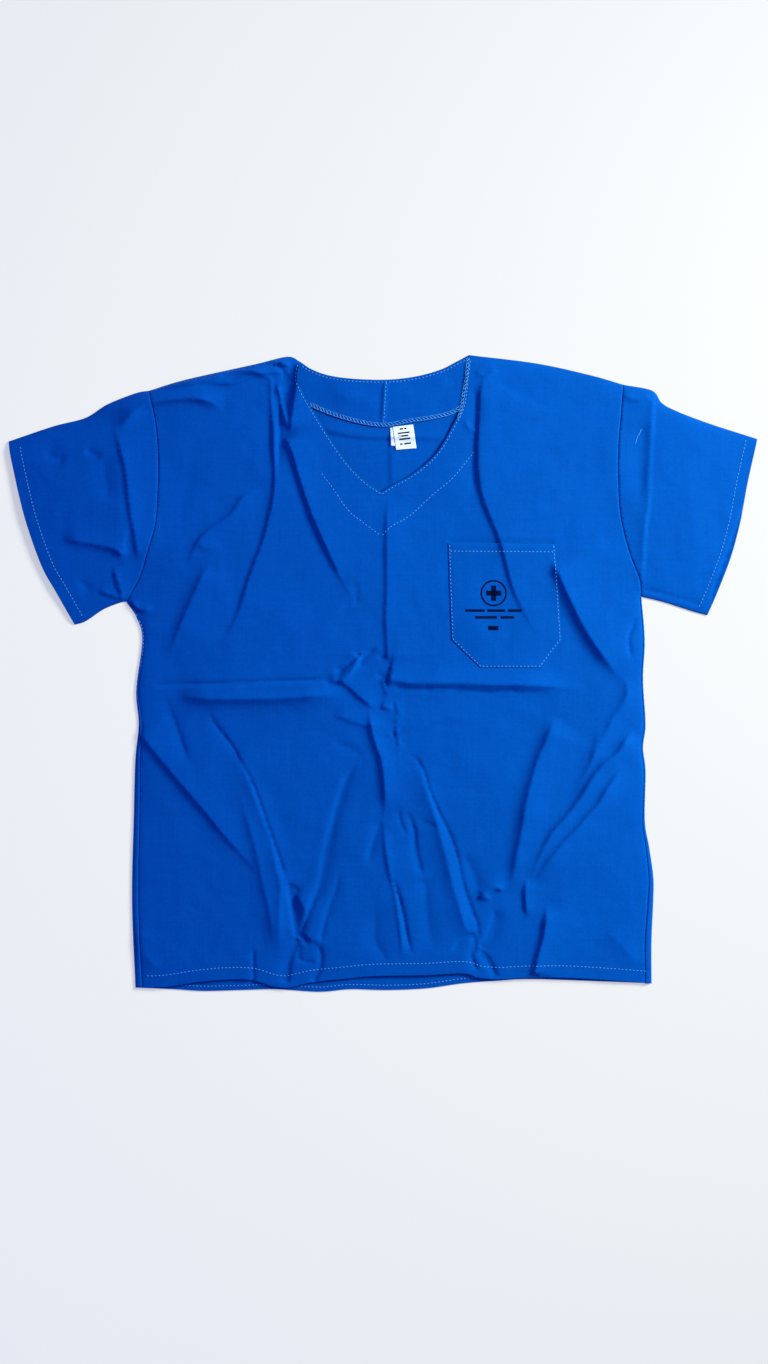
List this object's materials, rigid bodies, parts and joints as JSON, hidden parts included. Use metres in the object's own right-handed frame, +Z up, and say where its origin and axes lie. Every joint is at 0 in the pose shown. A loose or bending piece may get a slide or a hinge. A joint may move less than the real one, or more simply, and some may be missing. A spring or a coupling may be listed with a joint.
{
  "type": "patient gown",
  "caption": "Short-sleeved V-neck patient gown top in woven cloth, with a chest pocket and sewn-in labels, lying flat with its sleeves spread.",
  "frame": {"origin": "on the table, under the middle of the gown lying flat", "axes": "+X towards the wearer's left sleeve, along the sleeves; +Y towards the neck; +Z up from the table, out of the gown's front"},
  "size_m": [0.884, 0.7509, 0.0139],
  "materials": {
    "cloth": "matt plain-weave polyester and cotton, royal blue",
    "thread": "spun polyester sewing thread, paler blue with a slight sheen",
    "label_tape": "white woven satin tape",
    "print": "near-black textile print, matt"
  },
  "bodies": {
    "torso": {"back_panel": "cloth", "front_panel": "cloth", "right_front_facing": "cloth", "left_front_facing": "cloth", "right_back_facing": "cloth", "left_back_facing": "cloth", "chest_pocket": "cloth", "right_side_seam": "thread", "left_side_seam": "thread", "right_shoulder_seam": "thread", "left_shoulder_seam": "thread", "right_armhole_seam": "thread", "left_armhole_seam": "thread", "neck_topstitch": "thread", "back_neck_topstitch": "thread", "facing_stitch": "thread", "facing_overlock": "thread", "facing_centre_seam": "thread", "front_hem_stitch": "thread", "back_hem_stitch": "thread", "pocket_stitch": "thread", "pocket_hem_stitch": "thread", "pocket_print": "print"},
    "sleeve_right": {"right_sleeve": "cloth", "right_underarm_seam": "thread", "right_cuff_stitch": "thread"},
    "sleeve_left": {"left_sleeve": "cloth", "left_underarm_seam": "thread", "left_cuff_stitch": "thread"},
    "labels": {"size_label": "label_tape", "care_label": "label_tape"}
  },
  "joints": [
    {"name": "right_sleeve_fold", "type": "hinge", "parent": "torso", "child": "sleeve_right", "pos_m": [-0.3024, 0.2101, 0.012], "axis": [0.1078, 0.9942, 0], "range_deg": [0, 175]},
    {"name": "left_sleeve_fold", "type": "hinge", "parent": "torso", "child": "sleeve_left", "pos_m": [0.3094, 0.2163, 0.012], "axis": [0.0844, -0.9964, 0], "range_deg": [0, 175]},
    {"name": "label_flap", "type": "hinge", "parent": "torso", "child": "labels", "pos_m": [0.0245, 0.289, 0.0024], "axis": [-1, 0, 0], "range_deg": [0, 170]}
  ]
}
